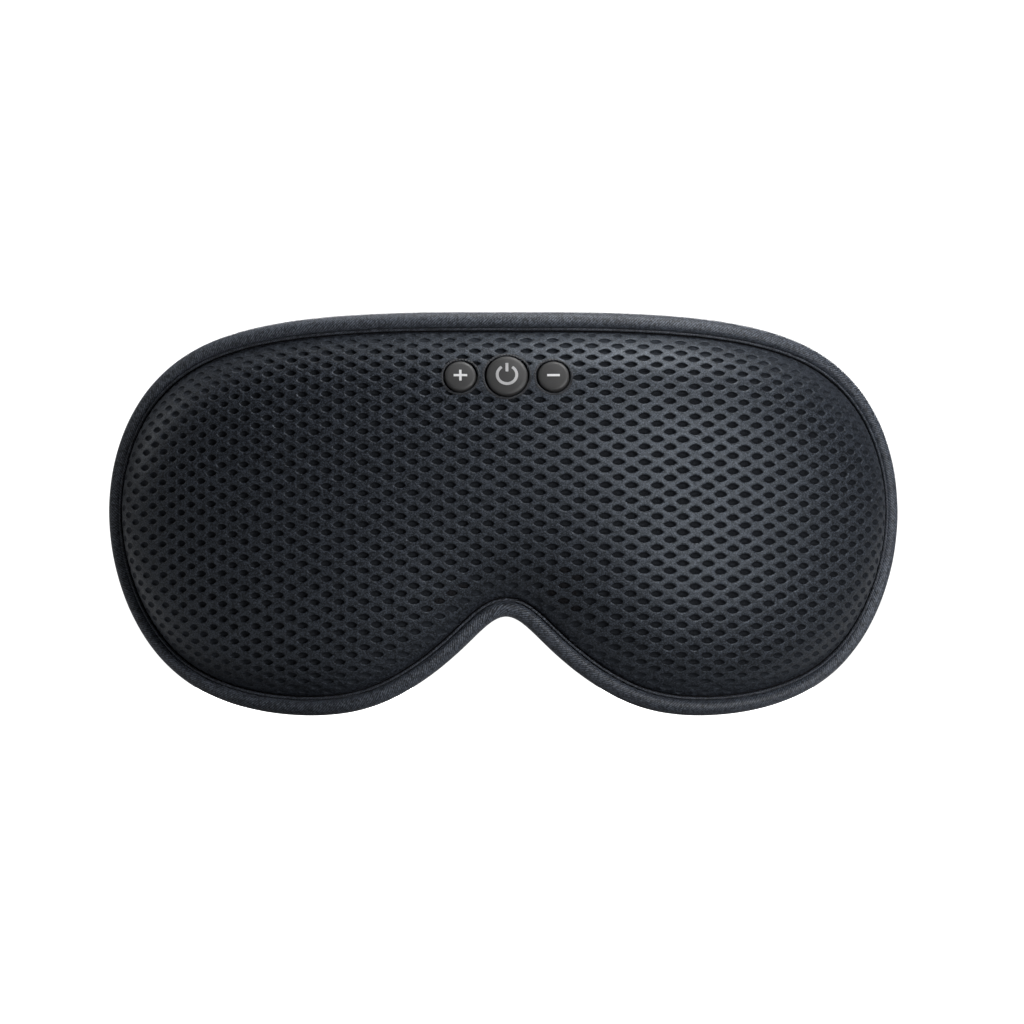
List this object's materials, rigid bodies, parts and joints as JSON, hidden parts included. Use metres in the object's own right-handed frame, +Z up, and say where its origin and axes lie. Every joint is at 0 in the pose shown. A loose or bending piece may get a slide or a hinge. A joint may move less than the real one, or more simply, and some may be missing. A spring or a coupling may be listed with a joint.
{
  "type": "eye massager mask",
  "caption": "Padded wrap-round eye mask with a knitted mesh front, a row of round push buttons, heat and vibration inside, eye pads on the back and an elastic head strap.",
  "frame": {"origin": "centre of the whole object's bounding box, strap included", "axes": "+Z up, mesh front facing -Y, +X to the right as seen from the front"},
  "size_m": [0.22, 0.1818, 0.112],
  "materials": {
    "mesh_knit": "open 3-D air mesh knit",
    "foam": "soft foam",
    "binding_lycra": "fine ribbed stretch binding",
    "stiffener": "thin flexible sheet",
    "lining_fabric": "soft brushed fabric",
    "webbing": "woven elastic",
    "black_plastic": "fine satin",
    "button_plastic": "soft-touch satin",
    "sign_print": "pale grey print",
    "switch_plastic": "moulded",
    "steel": "bright",
    "board_green": "solder mask",
    "chip_black": "moulded",
    "flap_rubber": "matte",
    "battery_foil": "foil pouch",
    "lead_red": "insulation",
    "lead_blue": "flat flexible lead",
    "heater_amber": "polyimide film",
    "magnet_grey": "sintered",
    "brass": "turned weight"
  },
  "bodies": {
    "mask": {"front_mesh": "mesh_knit", "front_foam": "foam", "edge_binding": "binding_lycra", "seam_piping": "binding_lycra", "carrier_plate": "stiffener", "back_foam": "foam", "back_lining": "lining_fabric", "left_eye_pad": "lining_fabric", "right_eye_pad": "lining_fabric", "left_strap_tab": "webbing", "right_strap_tab": "webbing", "housing_front": "black_plastic", "housing_base": "black_plastic", "housing_screws": "steel", "switch_bodies": "steel", "main_board": "board_green", "board_components": "chip_black", "charge_port": "steel", "charge_port_tongue": "switch_plastic", "port_flap_hinge": "flap_rubber", "battery_cell": "battery_foil", "battery_leads": "lead_red", "left_heater_film": "heater_amber", "right_heater_film": "heater_amber", "left_wiring": "lead_blue", "right_wiring": "lead_blue", "left_motor_holder": "flap_rubber", "left_motor_base": "steel", "left_motor_magnet": "magnet_grey", "left_motor_shaft": "steel", "left_motor_cover": "steel", "right_motor_holder": "flap_rubber", "right_motor_base": "steel", "right_motor_magnet": "magnet_grey", "right_motor_shaft": "steel", "right_motor_cover": "steel"},
    "plus_key": {"plus_button": "button_plastic", "plus_symbol": "sign_print", "plus_switch_stem": "switch_plastic"},
    "power_key": {"power_button": "button_plastic", "power_symbol": "sign_print", "power_switch_stem": "switch_plastic"},
    "minus_key": {"minus_button": "button_plastic", "minus_symbol": "sign_print", "minus_switch_stem": "switch_plastic"},
    "flap": {"port_flap": "flap_rubber"},
    "strap": {"strap_band": "webbing", "strap_return": "webbing", "left_strap_ring": "black_plastic", "right_strap_ring": "black_plastic"},
    "slider": {"strap_slider": "black_plastic"},
    "left_rotor": {"left_motor_rotor": "brass"},
    "right_rotor": {"right_motor_rotor": "brass"}
  },
  "joints": [
    {"name": "plus_press", "type": "slide", "parent": "mask", "child": "plus_key", "axis": [0, 0.9272, -0.3746], "range_m": [0, 0.0005]},
    {"name": "power_press", "type": "slide", "parent": "mask", "child": "power_key", "axis": [0, 0.9272, -0.3746], "range_m": [0, 0.0005]},
    {"name": "minus_press", "type": "slide", "parent": "mask", "child": "minus_key", "axis": [0, 0.9272, -0.3746], "range_m": [0, 0.0005]},
    {"name": "port_flap_open", "type": "hinge", "parent": "mask", "child": "flap", "pos_m": [0, -0.06673, 0.03544], "axis": [1, 0, 0], "range_deg": [0, 110], "deforming": ["port_flap_hinge"]},
    {"name": "strap_tilt", "type": "hinge", "parent": "mask", "child": "strap", "pos_m": [0, -0.0293, 0], "axis": [1, 0, 0], "range_deg": [-20, 20], "deforming": ["left_strap_tab", "right_strap_tab"]},
    {"name": "strap_slider_slide", "type": "slide", "parent": "strap", "child": "slider", "axis": [-0.2588, -0.9659, 0], "range_m": [0, 0.018], "deforming": ["strap_return"]},
    {"name": "left_rotor_spin", "type": "hinge", "parent": "mask", "child": "left_rotor", "pos_m": [-0.06119, -0.06628, 0.008], "axis": [-0.367, -0.9302, 0], "continuous": true},
    {"name": "right_rotor_spin", "type": "hinge", "parent": "mask", "child": "right_rotor", "pos_m": [0.06119, -0.06628, 0.008], "axis": [0.367, -0.9302, 0], "continuous": true}
  ]
}
